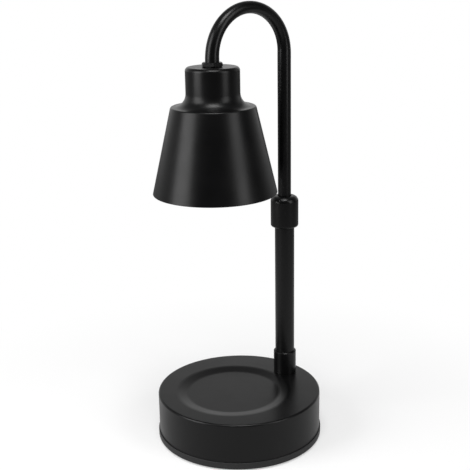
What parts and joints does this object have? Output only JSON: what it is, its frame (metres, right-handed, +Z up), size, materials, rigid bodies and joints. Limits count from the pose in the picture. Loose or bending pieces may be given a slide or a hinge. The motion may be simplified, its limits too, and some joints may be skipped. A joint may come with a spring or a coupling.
{
  "type": "candle warmer lamp",
  "caption": "Table lamp that melts a jar candle from above: weighted round base with a jar dish, sliding goose-neck arm with a lock collar, and a conical metal shade.",
  "frame": {"origin": "middle of the round base, on the surface that it stands on", "axes": "+Z up; +X from the base's middle to the post; the shade hangs on the -X side of the post"},
  "size_m": [0.1274, 0.1266, 0.329],
  "materials": {
    "powder_black": "satin black powder coat",
    "moulded_black": "matt moulded black plastic",
    "pad_foam": "closed-cell non-slip pad",
    "iron": "raw cast, unpainted",
    "plated_steel": "zinc plated",
    "pale_nylon": "natural nylon",
    "brass": "plain",
    "ceramic": "unglazed white lamp ceramic",
    "mirrored_glass": "mirrored inside",
    "clear_glass": "clear",
    "lead_sheath": "round flexible sheath"
  },
  "bodies": {
    "base": {"base_cover": "powder_black", "base_pan": "moulded_black", "base_pad": "pad_foam", "base_weight": "iron", "cover_bosses": "plated_steel", "base_screws": "plated_steel", "cord_gland": "moulded_black", "gland_nut": "moulded_black", "terminal_block": "pale_nylon", "terminal_screws": "brass", "base_lead": "lead_sheath", "post_socket": "powder_black", "post_washer": "plated_steel", "post_nut": "plated_steel", "post_tube": "powder_black", "guide_bush": "moulded_black", "lock_sleeve": "moulded_black", "post_lead": "lead_sheath"},
    "knob": {"lock_knob": "powder_black", "lock_cam": "moulded_black"},
    "collet": {"lock_collet": "pale_nylon"},
    "arm": {"gooseneck": "powder_black", "arm_ferrule": "moulded_black", "arm_lead": "lead_sheath", "shade": "powder_black", "ring_nut": "powder_black", "shade_nut": "plated_steel", "holder_bracket": "plated_steel", "bracket_screws": "plated_steel", "lamp_holder": "ceramic", "holder_cap": "ceramic", "holder_contacts": "brass"},
    "bulb": {"bulb_base": "ceramic", "bulb_pins": "brass", "bulb_reflector": "mirrored_glass", "bulb_glass": "clear_glass", "bulb_capsule": "clear_glass"}
  },
  "joints": [
    {"name": "knob_twist", "type": "hinge", "parent": "base", "child": "knob", "pos_m": [0.0474, 0, 0.1702], "axis": [0, 0, 1], "range_deg": [0, 90]},
    {"name": "arm_swivel", "type": "hinge", "parent": "base", "child": "collet", "pos_m": [0.0474, 0, 0.1702], "axis": [0, 0, 1], "range_deg": [-90, 90]},
    {"name": "height_slide", "type": "slide", "parent": "collet", "child": "arm", "axis": [0, 0, 1], "range_m": [-0.085, 0.01], "deforming": ["post_lead"]},
    {"name": "bulb_twist", "type": "hinge", "parent": "arm", "child": "bulb", "pos_m": [-0.0186, 0, 0.2546], "axis": [0, 0, 1], "range_deg": [-20, 0]}
  ]
}
